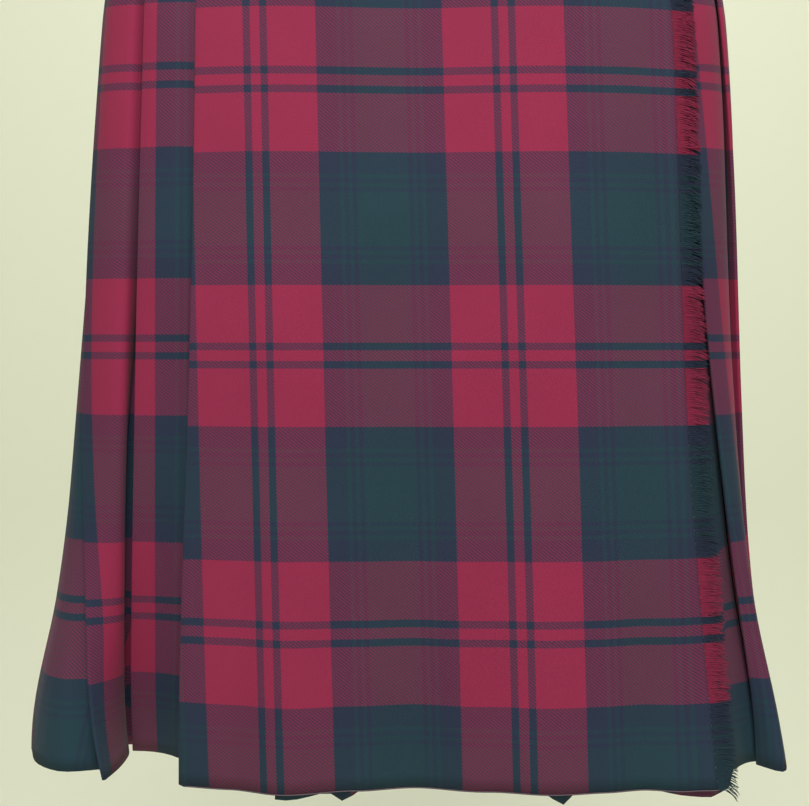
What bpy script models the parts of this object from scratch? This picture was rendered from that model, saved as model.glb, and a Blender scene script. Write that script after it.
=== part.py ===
"""A ladies' tartan kilt: fringed front apron, nineteen knife pleats, under apron, waistband and buckled straps.

The frame is +Z up with the origin at the middle of the waist. The front faces -Y. Tables are in millimetres.
Every wall follows the plan of the kilt at each height: the folds of the pleats are placed round an oval that
grows from the waist to the hem, and near the front, at the hem, where the hanging cloth swings out of line.
"""

import math

import bmesh
import bpy
from mathutils import Vector

MM = 0.001

# The cloth, in millimetres
CLOTH = 1.0             # thickness of the wall
LAYER = 1.5             # from the middle of one folded layer to the middle of the next
LENGTH = 640.0          # waist to hem
FELL = 166.0            # where the stitched part of the pleats ends, below the waist
PLEATS = 19
APRON_PLEAT = 38.0      # depth of the pleat hidden behind the apron's folded edge
PLEAT_LIFT = 4.0        # the pleats' hem rises this much above the apron's
SEAM_GAP = 0.4
HANG_POWER = 2.2        # how late below the fell the cloth swings out of line
FIRST_BELLY = 0.66      # how far before a fold's edge its layer's two belly points lie, in shares of the spacing
SECOND_BELLY = 0.33
BELLY_OUT = 0.8         # how far they stand out of the straight line

# Heights at which the walls have a row of points
DROPS = (0.0, 36.0, 76.0, 122.0, 166.0, 226.0, 286.0, 346.0, 406.0, 461.0, 511.0, 557.0, 601.0, 640.0)

# The body's oval and the pleats on it, one row for each level
LEVELS = (
    dict(drop=0.0, centre_x=0.0, centre_y=0.0, half_width=145.0, half_depth=52.0, squareness=2.2,
         apron_right_x=118.0, apron_left_x=-104.0, last_fold_x=122.0,
         fold_width=18.0, gap_behind=0.2, fold_opening=0.0),
    dict(drop=110.0, centre_x=5.0, centre_y=-2.0, half_width=195.0, half_depth=56.0, squareness=2.4,
         apron_right_x=160.0, apron_left_x=-128.0, last_fold_x=165.0,
         fold_width=16.5, gap_behind=0.7, fold_opening=0.0),
    dict(drop=166.0, centre_x=6.5, centre_y=-3.0, half_width=204.5, half_depth=58.0, squareness=2.6,
         apron_right_x=167.7, apron_left_x=-132.4, last_fold_x=173.0,
         fold_width=16.0, gap_behind=1.2, fold_opening=0.5),
    dict(drop=406.0, centre_x=2.5, centre_y=-4.0, half_width=216.5, half_depth=68.0, squareness=2.6,
         apron_right_x=174.0, apron_left_x=-132.5, last_fold_x=194.4,
         fold_width=13.5, gap_behind=5.0, fold_opening=5.0),
    dict(drop=540.0, centre_x=1.0, centre_y=-4.0, half_width=221.0, half_depth=71.5, squareness=2.7,
         apron_right_x=181.4, apron_left_x=-134.3, last_fold_x=207.5,
         fold_width=12.0, gap_behind=6.5, fold_opening=8.5),
    dict(drop=640.0, centre_x=-2.0, centre_y=-3.0, half_width=241.0, half_depth=75.0, squareness=2.8,
         apron_right_x=188.0, apron_left_x=-136.3, last_fold_x=221.0,
         fold_width=10.0, gap_behind=8.0, fold_opening=12.0),
)

# Where the hanging folds next to the apron stand at the hem, in plan. The belly points lie on the layer that
# ends at the fold's edge, behind is where the next layer comes out from under it, inner is its hidden fold.
HEM_FOLDS = {
    0: dict(belly_a=None, belly_b=None, edge=(-136.3, -71.0), inner=(-100.0, -52.0), behind=(-142.4, -38.0)),
    1: dict(belly_a=(-153.0, -26.0), belly_b=(-165.0, -21.0), edge=(-175.2, -20.0), inner=(-163.0, -8.0),
            behind=(-181.0, -8.0)),
    2: dict(belly_a=(-177.2, -28.0), belly_b=(-177.5, -52.0), edge=(-181.0, -74.0), inner=(-186.5, -55.0),
            behind=(-195.0, -60.0)),
    3: dict(belly_a=(-211.0, -59.5), belly_b=(-230.0, -45.0), edge=(-242.5, -16.0), inner=(-232.5, -26.0),
            behind=(-237.5, -10.0)),
    18: dict(belly_a=(243.0, 8.0), belly_b=(244.0, -6.0), edge=(241.0, -22.0), inner=(236.0, -9.0),
             behind=(236.5, -25.0)),
    19: dict(belly_a=(239.0, -45.0), belly_b=(233.0, -60.0), edge=(221.0, -47.0), inner=(232.0, -43.0),
             behind=(219.0, -41.0)),
}

# Uneven hang of the other pleats at the hem: how far each fold's edge stands out and is shifted along
PLEAT_SWING = {
    4: (3.0, 8.0), 5: (-4.0, 6.0), 6: (5.0, 5.0), 7: (0.0, -3.0), 8: (7.0, 1.0), 9: (-4.0, 4.0),
    10: (2.0, -2.0), 11: (8.0, 2.0), 12: (-3.0, -4.0), 13: (4.0, 3.0), 14: (-5.0, -2.0), 15: (6.0, 1.0),
    16: (-2.0, 3.0), 17: (3.0, -2.0),
}

# The folds that kick out only near the hem, and how much later than the others
LATE_FOLDS = (2, 3, 18, 19)
LATENESS = 2.2

# The folds beside the aprons lie wider apart. How far each is moved, in shares of the folds' spacing
FOLD_SHIFT = {0: -0.115, 2: 0.42, 3: 0.36, 4: 0.30, 5: 0.24, 6: 0.18, 7: 0.12, 8: 0.06,
              15: -0.05, 16: -0.10, 17: -0.16, 18: -0.22}

# Soft flutes of the apron at the hem: how far it stands forward of the oval at each x
APRON_FLUTES = ((-136.3, 0.0), (-105.0, 3.0), (-72.0, 11.0), (-30.0, 3.0), (6.0, -3.0), (50.0, 5.0),
                (90.0, 12.0), (120.0, 10.0), (141.0, 8.0), (171.0, 16.0), (190.0, 19.0), (230.0, 19.0))

# Small sags of the under apron's hem: x, how low, how wide
UNDER_SAGS = ((-72.0, 6.0, 26.0), (-36.0, 8.0, 7.0), (94.0, 9.0, 7.0), (186.0, 7.0, 34.0))
UNDER_EDGE_X = -78.0

# Fringe and its strip
FRINGE_STRIP = 3.0
LOCKS = 108
LOCK_LENGTH = 12.5
LOCK_THICK = 0.7

# Waistband
BAND_DEPTH = 36.0
BAND_CLOTH = 1.0
BAND_STAND_OFF = 1.5    # from the middle of the cloth to the middle of the band
BACK_EXTRA = 0.4        # more than that round the pleats' edges

# Leather straps and buckles, one set at each side of the front
STRAP_WIDTH = 25.0
STRAP_THICK = 2.2
STRAP_DROP = 20.0       # middle of the strap below the waist
BUCKLE_WIRE = 3.0
BUCKLE_ALONG = 52.0     # from the strap's sewn end to the buckle
BUCKLE_HALF = 11.0
PRONG_WIRE = 2.0
KEEPER_WIDTH = 7.0
KEEPER_THICK = 1.2
SEAT_GAP = 0.7          # between the round band and the leather on it
RIGHT_STRAP_START = -34.0
LEFT_STRAP_START = 12.0
SEAT_LENGTH = 20.0
STRAP_TAIL = 46.0       # past the buckle
CHAPE_LENGTH = 34.0     # from the buckle to the chape's sewn end
KEEPER_ALONG = 24.0     # from the buckle to the keeper
KEEPER_LIFT = 1.7       # over the strap's middle, above its face


def blended(drop, key):
    """The level table's value at a drop: a smooth curve through the rows."""
    rows = LEVELS
    drop = min(max(drop, rows[0]["drop"]), rows[-1]["drop"])
    spot = max(i for i in range(len(rows) - 1) if rows[i]["drop"] <= drop)

    def slope(i):
        before, after = max(i - 1, 0), min(i + 1, len(rows) - 1)
        left = (rows[i][key] - rows[before][key]) / max(rows[i]["drop"] - rows[before]["drop"], 1e-9)
        right = (rows[after][key] - rows[i][key]) / max(rows[after]["drop"] - rows[i]["drop"], 1e-9)
        if i in (0, len(rows) - 1):
            return right if i == 0 else left
        return 0.0 if left * right <= 0 else 2 * left * right / (left + right)

    low, high = rows[spot], rows[spot + 1]
    span = high["drop"] - low["drop"]
    t = (drop - low["drop"]) / span
    return (low[key] * (1 + 2 * t) * (1 - t) ** 2 + high[key] * t * t * (3 - 2 * t)
            + slope(spot) * span * t * (1 - t) ** 2 - slope(spot + 1) * span * t * t * (1 - t))


def loosened(drop):
    """How freely the cloth hangs: nothing down to the fell, fully at the hem."""
    return max(0.0, (drop - FELL) / (LENGTH - FELL)) ** HANG_POWER


def along_table(table, x):
    """A smooth value between the (x, value) rows of a short table."""
    if x <= table[0][0]:
        return table[0][1]
    for (x0, v0), (x1, v1) in zip(table, table[1:]):
        if x <= x1:
            t = (x - x0) / (x1 - x0)
            return v0 + (v1 - v0) * t * t * (3 - 2 * t)
    return table[-1][1]


class Oval:
    """The plan of the body at one height, measured along from the middle of the front, left side first."""

    STEPS = 720

    def __init__(self, drop):
        self.drop = drop
        self.size = {key: blended(drop, key) for key in LEVELS[0] if key != "drop"}
        power = 2.0 / self.size["squareness"]
        self.points = []
        for i in range(self.STEPS + 1):
            turn = 2 * math.pi * i / self.STEPS
            across, deep = math.sin(turn), math.cos(turn)
            self.points.append(Vector((
                self.size["centre_x"] - self.size["half_width"] * math.copysign(abs(across) ** power, across),
                self.size["centre_y"] - self.size["half_depth"] * math.copysign(abs(deep) ** power, deep))))
        self.lengths = [0.0]
        for a, b in zip(self.points, self.points[1:]):
            self.lengths.append(self.lengths[-1] + (b - a).length)
        self.round = self.lengths[-1]

    def at(self, along, out=0.0):
        """The point at a distance along the oval, moved out from it."""
        along %= self.round
        low, high = 0, self.STEPS
        while high - low > 1:
            middle = (low + high) // 2
            low, high = (middle, high) if self.lengths[middle] <= along else (low, middle)
        run = self.lengths[low + 1] - self.lengths[low]
        point = self.points[low].lerp(self.points[low + 1], (along - self.lengths[low]) / max(run, 1e-9))
        before = self.points[(low - 4) % self.STEPS]
        after = self.points[(low + 5) % self.STEPS]
        way = (after - before).normalized()
        return point + Vector((-way.y, way.x)) * out

    def front_length(self, x):
        """The distance along to the point of the front that has this x. It is negative right of the middle."""
        quarter = self.STEPS // 4
        side = range(quarter) if x <= self.size["centre_x"] else range(self.STEPS - 1, self.STEPS - quarter, -1)
        spot = min(side, key=lambda i: abs(self.points[i].x - x))
        return self.lengths[spot] - (self.round if x > self.size["centre_x"] else 0.0)


OVALS = {}


def oval_at(drop):
    """The oval at a drop, made once."""
    key = round(drop, 4)
    if key not in OVALS:
        OVALS[key] = Oval(drop)
    return OVALS[key]


def on_rows(drop, place):
    """A place at a drop between two of the walls' rows, where the walls themselves are straight."""
    above = max(row for row in DROPS if row <= drop + 1e-6)
    below = min(row for row in DROPS if row >= drop - 1e-6)
    share = (drop - above) / (below - above) if below > above else 0.0
    return place(oval_at(above)).lerp(place(oval_at(below)), share)


def left_of(way):
    way = way.normalized()
    return Vector((-way.y, way.x))


def edge_place(oval, number):
    """How far along the oval a fold's edge lies."""
    loose = loosened(oval.drop)
    first = oval.front_length(oval.size["apron_left_x"])
    last = oval.round + oval.front_length(oval.size["last_fold_x"])
    moved = number + FOLD_SHIFT.get(number, 0.0) * (1.0 - loose)
    return first + (last - first) / PLEATS * moved + PLEAT_SWING.get(number, (0.0, 0.0))[1] * loose


def fold(oval, number):
    """The plan of one fold: where its layer bellies, its edge, its hidden inner fold and the cloth behind it."""
    size, loose = oval.size, loosened(oval.drop)
    edge_along = edge_place(oval, number)
    pitch = edge_along - edge_place(oval, number - 1)
    out_here = PLEAT_SWING.get(number, (0.0, 0.0))[0] * loose
    width = size["fold_width"] if number else APRON_PLEAT - 2.0 * loose
    gap, opening = size["gap_behind"], size["fold_opening"]
    lift = LAYER if number == 0 else 0.0
    slope = (2 * LAYER + gap) / pitch if number else 0.0
    before = (2 * LAYER + gap) * (1.0 if number > 1 else (LAYER + gap) / (2 * LAYER + gap))
    made = dict(
        belly_a=oval.at(edge_along - pitch * FIRST_BELLY, out_here * 0.5 - before * 0.60 + BELLY_OUT),
        belly_b=oval.at(edge_along - pitch * SECOND_BELLY, out_here * 0.8 - before * 0.28 + BELLY_OUT),
        edge=oval.at(edge_along, out_here + lift),
        inner=oval.at(edge_along - width, lift - slope * width - LAYER - opening + out_here * 0.3),
        behind=oval.at(edge_along + 1.0, lift - 2 * LAYER - gap + out_here * 0.5),
    )
    for key, spot in HEM_FOLDS.get(number, {}).items():
        if spot is not None:
            share = loose ** LATENESS if number in LATE_FOLDS else loose
            made[key] = made[key].lerp(Vector(spot), share)
    return made


def layer_points(before, here):
    """A pleat's visible layer, from the hidden fold before it to its own edge, and back to its hidden fold."""
    start = before["inner"] + left_of(before["inner"] - back_of(before)) * LAYER
    return [start, before["behind"], here["belly_a"], here["belly_b"], here["edge"], back_of(here), here["inner"]]


def back_of(here):
    """The start of the layer that turns back under a fold's edge."""
    if "apron_way" in here:
        way = here["apron_way"]
    else:
        way = here["edge"] - here["belly_b"]
    return here["edge"] - left_of(way) * LAYER


def apron_points(oval, columns):
    """The front apron from its fringed edge to its left fold, then back under itself to the hidden fold."""
    size, loose = oval.size, loosened(oval.drop)
    right = oval.front_length(size["apron_right_x"])
    left = edge_place(oval, 0)
    here = fold(oval, 0)
    points = []
    for i in range(columns):
        share = i / (columns - 1)
        points.append(apron_front(oval, right + (left - right) * share, loose))
    points[-1] = here["edge"]
    here["apron_way"] = points[-1] - points[-2]
    start = back_of(here)
    return points + [start, start.lerp(here["inner"], 0.5), here["inner"]], here


def apron_front(oval, along, loose, under=0.0):
    """A point of the apron's face, or of a layer this far under it."""
    spot = oval.at(along, LAYER - under)
    return spot - Vector((0.0, along_table(APRON_FLUTES, spot.x) * loose))


def under_points(oval, columns):
    """The under apron, from the last hidden fold to its free edge behind the front apron."""
    loose = loosened(oval.drop)
    last = fold(oval, PLEATS)
    start = last["inner"] + left_of(last["inner"] - back_of(last)) * LAYER
    edge = oval.front_length(UNDER_EDGE_X)
    under = 3 * LAYER + 0.6 + 4.0 * loose
    points = [start, last["behind"]]
    right = oval.front_length(oval.size["apron_right_x"])
    rest = [right + (edge - right) * i / (columns - 1) for i in range(columns)]
    body = [apron_front(oval, along, loose, under) for along in rest]
    return points + [last["behind"].lerp(body[0], 0.5)] + body


def sag(x, drop):
    """How far the under apron's hem sags at this x."""
    low = sum(depth * math.exp(-((x - at) / wide) ** 2) for at, depth, wide in UNDER_SAGS)
    return low * loosened(drop) ** 2


def wall(name, sections, drops, colour, thickness=CLOTH, lift=None):
    """A cloth wall through one section for each drop, as an open grid with a thickness."""
    across, down = len(sections[0]) - 1, len(sections) - 1
    bm = bmesh.new()
    bmesh.ops.create_grid(bm, x_segments=across, y_segments=down, size=1.0)
    for vert in bm.verts:
        column = round((vert.co.x + 1) / 2 * across)
        row = round((vert.co.y + 1) / 2 * down)
        spot, drop = sections[row][column], drops[row]
        rise = lift(spot, drop, column) if lift else 0.0
        vert.co = Vector((spot.x, spot.y, rise - drop)) * MM
    mesh = bpy.data.meshes.new(name)
    bm.to_mesh(mesh)
    bm.free()
    piece = bpy.data.objects.new(name, mesh)
    collection.objects.link(piece)
    solid = piece.modifiers.new("Cloth", "SOLIDIFY")
    solid.thickness = thickness * MM
    solid.offset = 0.0
    solid.use_even_offset = True
    paint(piece, colour)
    return piece


def paint(piece, finish):
    """Gives a piece its own plain material."""
    colour, roughness, metallic = FINISHES[finish]
    material = bpy.data.materials.new(f"{piece.name} {finish}")
    material.use_nodes = True
    shader = material.node_tree.nodes["Principled BSDF"]
    shader.inputs["Base Color"].default_value = (*colour, 1.0)
    shader.inputs["Roughness"].default_value = roughness
    shader.inputs["Metallic"].default_value = metallic
    piece.data.materials.append(material)


FINISHES = {
    "tartan": ((0.18, 0.05, 0.07), 0.9, 0.0),
    "fringe wool": ((0.22, 0.03, 0.06), 0.95, 0.0),
    "leather": ((0.02, 0.015, 0.012), 0.5, 0.0),
    "buckle metal": ((0.75, 0.74, 0.72), 0.25, 1.0),
}


def fresh_scene():
    for old in list(bpy.data.objects):
        bpy.data.objects.remove(old)
    made = bpy.data.collections.new("Kilt")
    bpy.context.scene.collection.children.link(made)
    return made


def pleat_lift(_, drop, __):
    return PLEAT_LIFT * loosened(drop)


def build_pleats():
    """The four lengths of pleated cloth. Each starts and ends at a hidden fold."""
    lengths = (("pleats_left", 1, 5), ("pleats_back_left", 6, 10),
               ("pleats_back_right", 11, 15), ("pleats_right", 16, PLEATS))
    ovals = [oval_at(drop) for drop in DROPS]
    for name, first, last in lengths:
        sections = []
        for oval in ovals:
            folds = {number: fold(oval, number) for number in range(first - 1, last + 1)}
            if first == 1:
                folds[0] = apron_points(oval, 3)[1]
            section = []
            for number in range(first, last + 1):
                section += layer_points(folds[number - 1], folds[number])
            sections.append(section)
        wall(name, sections, DROPS, "tartan", lift=pleat_lift)


def build_aprons():
    ovals = [oval_at(drop) for drop in DROPS]
    columns = 17
    wall("front_apron", [apron_points(oval, columns)[0] for oval in ovals], DROPS, "tartan")
    wall("under_apron", [under_points(oval, 15) for oval in ovals], DROPS, "tartan",
         lift=lambda spot, drop, column: -sag(spot.x, drop) if column > 2 else pleat_lift(spot, drop, column))


def band_section(oval, first, last, columns, out):
    return [oval.at(first + (last - first) * i / (columns - 1), out) for i in range(columns)]


def build_waistband():
    """A folded strip of cloth over the top of the apron, and one round the pleats."""
    drops = (0.0, BAND_DEPTH)
    front, back = [], []
    for drop in drops:
        oval = oval_at(drop)
        right = oval.front_length(oval.size["apron_right_x"])
        left = edge_place(oval, 0)
        front.append(band_section(oval, right, left + 1.5, 17, LAYER + BAND_STAND_OFF))
        last = oval.round + right - SEAM_GAP - FRINGE_STRIP - LOCK_LENGTH * 1.12 - 1.0
        back.append(band_section(oval, left + 4.0, last, 91, BAND_STAND_OFF + BACK_EXTRA))
    wall("waistband_front", front, drops, "tartan", BAND_CLOTH)
    wall("waistband_back", back, drops, "tartan", BAND_CLOTH)


def build_fringe():
    """The fringe: locks of loose weft ends on a narrow strip beside the apron's cut edge."""
    segments = 2 * LOCKS
    bm = bmesh.new()
    bmesh.ops.create_grid(bm, x_segments=1, y_segments=segments, size=1.0)
    faces = bm.faces[:]
    grown = bmesh.ops.extrude_face_region(bm, geom=faces)
    top = [v for v in grown["geom"] if isinstance(v, bmesh.types.BMVert)]
    for vert in top:
        vert.co.z = 1.0
    bmesh.ops.recalc_face_normals(bm, faces=bm.faces[:])
    side = sorted((f for f in bm.faces if f.normal.x > 0.9), key=lambda f: f.calc_center_median().y)
    locks = side[0::2]
    tips = bmesh.ops.extrude_discrete_faces(bm, faces=locks)["faces"]
    tips.sort(key=lambda f: f.calc_center_median().y)
    reach = bm.verts.layers.float.new("reach")
    for number, face in enumerate(tips):
        middle = face.calc_center_median()
        droop = 1.6 + 1.4 * math.sin(2.3 * number) + 0.8 * math.sin(0.61 * number)
        for vert in face.verts:
            vert.co.y = middle.y + (vert.co.y - middle.y) * 0.62 + droop / segments * 0.9
            vert[reach] = LOCK_LENGTH * (1.0 + 0.12 * math.sin(1.9 * number + 0.5))
    for vert in bm.verts:
        drop = min(max(LENGTH * (vert.co.y + 1) / 2, 0.0), LENGTH)
        beyond = FRINGE_STRIP + vert[reach] if vert.co.x > 0 else 0.0
        thin = LOCK_THICK / 2 if vert[reach] else CLOTH / 2
        face = thin if vert.co.z > 0.5 else -thin

        def place(oval):
            root = oval.front_length(oval.size["apron_right_x"]) - SEAM_GAP
            return apron_front(oval, root - beyond, loosened(oval.drop), -face)

        spot = on_rows(drop, place)
        vert.co = Vector((spot.x, spot.y, -drop)) * MM
    bmesh.ops.recalc_face_normals(bm, faces=bm.faces[:])
    mesh = bpy.data.meshes.new("fringe")
    bm.to_mesh(mesh)
    bm.free()
    piece = bpy.data.objects.new("fringe", mesh)
    collection.objects.link(piece)
    paint(piece, "fringe wool")


def waist_point(side, along, drop, out):
    """A place on the waist, as far along from the apron's right or left edge at that height."""
    def place(oval):
        if side == "right":
            return oval.at(oval.front_length(oval.size["apron_right_x"]) - along, out)
        return oval.at(oval.front_length(oval.size["apron_left_x"]) + along, out)

    spot = on_rows(drop, place)
    return Vector((spot.x, spot.y, -drop)) * MM


def leather_wall(name, spots, thick):
    """A strip of leather through rows of points, with a thickness."""
    down, across = len(spots) - 1, len(spots[0]) - 1
    bm = bmesh.new()
    bmesh.ops.create_grid(bm, x_segments=across, y_segments=down, size=1.0)
    for vert in bm.verts:
        vert.co = spots[round((vert.co.y + 1) / 2 * down)][round((vert.co.x + 1) / 2 * across)]
    mesh = bpy.data.meshes.new(name)
    bm.to_mesh(mesh)
    bm.free()
    piece = bpy.data.objects.new(name, mesh)
    collection.objects.link(piece)
    solid = piece.modifiers.new("Leather", "SOLIDIFY")
    solid.thickness = thick * MM
    solid.offset = 0.0
    solid.use_even_offset = True
    paint(piece, "leather")


def strap_strip(side, first, last, half_height, out, point=1.0, columns=9):
    """Rows of points for a strip along the waist, at one height above the cloth. Its last end may be narrow."""
    rows = []
    for tall in (-1.0, 0.0, 1.0):
        row = []
        for i in range(columns):
            share = i / (columns - 1)
            narrow = point if i == columns - 1 else 1.0
            row.append(waist_point(side, first + (last - first) * share,
                                   STRAP_DROP + tall * half_height * narrow, out))
        rows.append(row)
    return rows


def wire(name, points, radius, closed):
    """A bent metal wire through points, as a mesh."""
    curve = bpy.data.curves.new(name, "CURVE")
    curve.dimensions = "3D"
    curve.bevel_depth = radius * MM
    curve.bevel_resolution = 2
    curve.use_fill_caps = True
    spline = curve.splines.new("POLY")
    spline.points.add(len(points) - 1)
    for made, point in zip(spline.points, points):
        made.co = (*point, 1.0)
    spline.use_cyclic_u = closed
    guide = bpy.data.objects.new(name, curve)
    collection.objects.link(guide)
    graph = bpy.context.evaluated_depsgraph_get()
    mesh = bpy.data.meshes.new_from_object(guide.evaluated_get(graph))
    bpy.data.objects.remove(guide)
    bm = bmesh.new()
    bm.from_mesh(mesh)
    bmesh.ops.remove_doubles(bm, verts=bm.verts[:], dist=1e-6)
    bmesh.ops.recalc_face_normals(bm, faces=bm.faces[:])
    bm.to_mesh(mesh)
    bm.free()
    piece = bpy.data.objects.new(name, mesh)
    collection.objects.link(piece)
    paint(piece, "buckle metal")


def build_strap(side, start, base):
    """A strap with its seat, chape, keeper and buckle. base is how far out the waistband's face lies."""
    half = STRAP_WIDTH / 2
    under = base + SEAT_GAP + STRAP_THICK / 2
    over = under + STRAP_THICK + BUCKLE_WIRE + 0.8
    top = over + STRAP_THICK / 2
    buckle = start + BUCKLE_ALONG
    chape = strap_strip(side, buckle - 4.0, buckle + CHAPE_LENGTH, half - 3.0, under)
    leather_wall(f"chape_{side}", chape, STRAP_THICK)
    leather_wall(f"strap_{side}", strap_strip(side, start, buckle + STRAP_TAIL, half, over, 0.4, 15), STRAP_THICK)
    seat_thick = over - STRAP_THICK / 2 - base - 2 * SEAT_GAP
    seat = strap_strip(side, start, start + SEAT_LENGTH, half, base + SEAT_GAP + seat_thick / 2)
    leather_wall(f"strap_seat_{side}", seat, seat_thick)
    wire_out = (under + over) / 2
    frame = [waist_point(side, buckle + along * BUCKLE_HALF, STRAP_DROP + tall * (half + 3.5), wire_out)
             for along, tall in ((-1, -1), (-0.33, -1), (0.33, -1), (1, -1), (1, 0), (1, 1), (0.33, 1),
                                 (-0.33, 1), (-1, 1), (-1, 0))]
    wire(f"buckle_{side}", frame, BUCKLE_WIRE / 2, True)
    prong = [waist_point(side, buckle + (i / 4 - 1.1) * BUCKLE_HALF, STRAP_DROP, top + PRONG_WIRE / 2 + 0.6)
             for i in range(9)]
    wire(f"prong_{side}", prong, PRONG_WIRE / 2, False)
    ring = []
    low, high = under + 0.2, top + KEEPER_LIFT
    for across in (-1.0, 1.0):
        ring.append([waist_point(side, buckle + KEEPER_ALONG + across * KEEPER_WIDTH / 2,
                                 STRAP_DROP + tall * (half + 1.4), out)
                     for out, tall in ((low, -1), (high, -1), (high, 0), (high, 1), (low, 1))])
    leather_wall(f"keeper_{side}", ring, KEEPER_THICK)


collection = fresh_scene()
build_aprons()
build_pleats()
build_waistband()
build_fringe()
build_strap("right", RIGHT_STRAP_START, LAYER + BAND_STAND_OFF + BAND_CLOTH / 2)
build_strap("left", LEFT_STRAP_START, BAND_STAND_OFF + BACK_EXTRA + BAND_CLOTH / 2)
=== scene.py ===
"""The looks of the tartan kilt: woven cloth shells with pressed folds, a loose fringe and buckled straps.

Everything is in metres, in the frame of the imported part: +Z up, the front towards -Y, the origin at the
middle of the waist. Tables are in millimetres, as in the part's own source, whose folds these shells follow.
"""

import math

import bmesh
import bpy
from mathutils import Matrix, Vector, noise


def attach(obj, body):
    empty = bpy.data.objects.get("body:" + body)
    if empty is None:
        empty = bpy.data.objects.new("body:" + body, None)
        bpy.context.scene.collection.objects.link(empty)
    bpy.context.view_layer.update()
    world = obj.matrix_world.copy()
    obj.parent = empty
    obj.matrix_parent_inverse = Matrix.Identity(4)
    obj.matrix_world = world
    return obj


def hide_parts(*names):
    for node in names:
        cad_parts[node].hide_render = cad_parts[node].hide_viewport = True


MM = 0.001

# The cloth and the kilt
CLOTH = 1.0
LAYER = 1.5
LENGTH = 640.0
FELL = 166.0
PLEATS = 19
APRON_PLEAT = 38.0
PLEAT_LIFT = 4.0
SEAM_GAP = 0.4

# The body's oval and the pleats on it, one row for each level
LEVELS = (
    dict(drop=0.0, centre_x=0.0, centre_y=0.0, half_width=145.0, half_depth=52.0, squareness=2.2,
         apron_right_x=118.0, apron_left_x=-104.0, last_fold_x=122.0,
         fold_width=18.0, gap_behind=0.2, fold_opening=0.0),
    dict(drop=110.0, centre_x=5.0, centre_y=-2.0, half_width=195.0, half_depth=56.0, squareness=2.4,
         apron_right_x=160.0, apron_left_x=-128.0, last_fold_x=165.0,
         fold_width=16.5, gap_behind=0.7, fold_opening=0.0),
    dict(drop=166.0, centre_x=6.5, centre_y=-3.0, half_width=204.5, half_depth=58.0, squareness=2.6,
         apron_right_x=167.7, apron_left_x=-132.4, last_fold_x=173.0,
         fold_width=16.0, gap_behind=1.2, fold_opening=0.5),
    dict(drop=406.0, centre_x=2.5, centre_y=-4.0, half_width=216.5, half_depth=68.0, squareness=2.6,
         apron_right_x=174.0, apron_left_x=-132.5, last_fold_x=194.4,
         fold_width=13.5, gap_behind=5.0, fold_opening=5.0),
    dict(drop=540.0, centre_x=1.0, centre_y=-4.0, half_width=221.0, half_depth=71.5, squareness=2.7,
         apron_right_x=181.4, apron_left_x=-134.3, last_fold_x=207.5,
         fold_width=12.0, gap_behind=6.5, fold_opening=8.5),
    dict(drop=640.0, centre_x=-2.0, centre_y=-3.0, half_width=241.0, half_depth=75.0, squareness=2.8,
         apron_right_x=188.0, apron_left_x=-136.3, last_fold_x=221.0,
         fold_width=10.0, gap_behind=8.0, fold_opening=12.0),
)

# Where the hanging folds next to the apron stand at the hem, in plan
HEM_FOLDS = {
    0: dict(belly_a=None, belly_b=None, edge=(-136.3, -71.0), inner=(-100.0, -52.0), behind=(-142.4, -38.0)),
    1: dict(belly_a=(-153.0, -26.0), belly_b=(-165.0, -21.0), edge=(-175.2, -20.0), inner=(-163.0, -8.0),
            behind=(-181.0, -8.0)),
    2: dict(belly_a=(-177.2, -28.0), belly_b=(-177.5, -52.0), edge=(-181.0, -74.0), inner=(-186.5, -55.0),
            behind=(-195.0, -60.0)),
    3: dict(belly_a=(-211.0, -59.5), belly_b=(-230.0, -45.0), edge=(-242.5, -16.0), inner=(-232.5, -26.0),
            behind=(-237.5, -10.0)),
    18: dict(belly_a=(243.0, 8.0), belly_b=(244.0, -6.0), edge=(241.0, -22.0), inner=(236.0, -9.0),
             behind=(236.5, -25.0)),
    19: dict(belly_a=(239.0, -45.0), belly_b=(233.0, -60.0), edge=(221.0, -47.0), inner=(232.0, -43.0),
             behind=(219.0, -41.0)),
}

# Uneven hang of the other pleats at the hem: how far each fold's edge stands out and is shifted along
PLEAT_SWING = {
    4: (3.0, 8.0), 5: (-4.0, 6.0), 6: (5.0, 5.0), 7: (0.0, -3.0), 8: (7.0, 1.0), 9: (-4.0, 4.0),
    10: (2.0, -2.0), 11: (8.0, 2.0), 12: (-3.0, -4.0), 13: (4.0, 3.0), 14: (-5.0, -2.0), 15: (6.0, 1.0),
    16: (-2.0, 3.0), 17: (3.0, -2.0),
}

# The folds that kick out only near the hem, and how much later than the others
LATE_FOLDS = (2, 3, 18, 19)
LATENESS = 2.2

# The folds beside the aprons lie wider apart. How far each is moved, in shares of the folds' spacing
FOLD_SHIFT = {0: -0.115, 2: 0.42, 3: 0.36, 4: 0.30, 5: 0.24, 6: 0.18, 7: 0.12, 8: 0.06,
              15: -0.05, 16: -0.10, 17: -0.16, 18: -0.22}

# Soft flutes of the apron at the hem: how far it stands forward of the oval at each x
APRON_FLUTES = ((-136.3, 0.0), (-105.0, 3.0), (-72.0, 11.0), (-30.0, 3.0), (6.0, -3.0), (50.0, 5.0),
                (90.0, 12.0), (120.0, 10.0), (141.0, 8.0), (171.0, 16.0), (190.0, 19.0), (230.0, 19.0))

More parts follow.
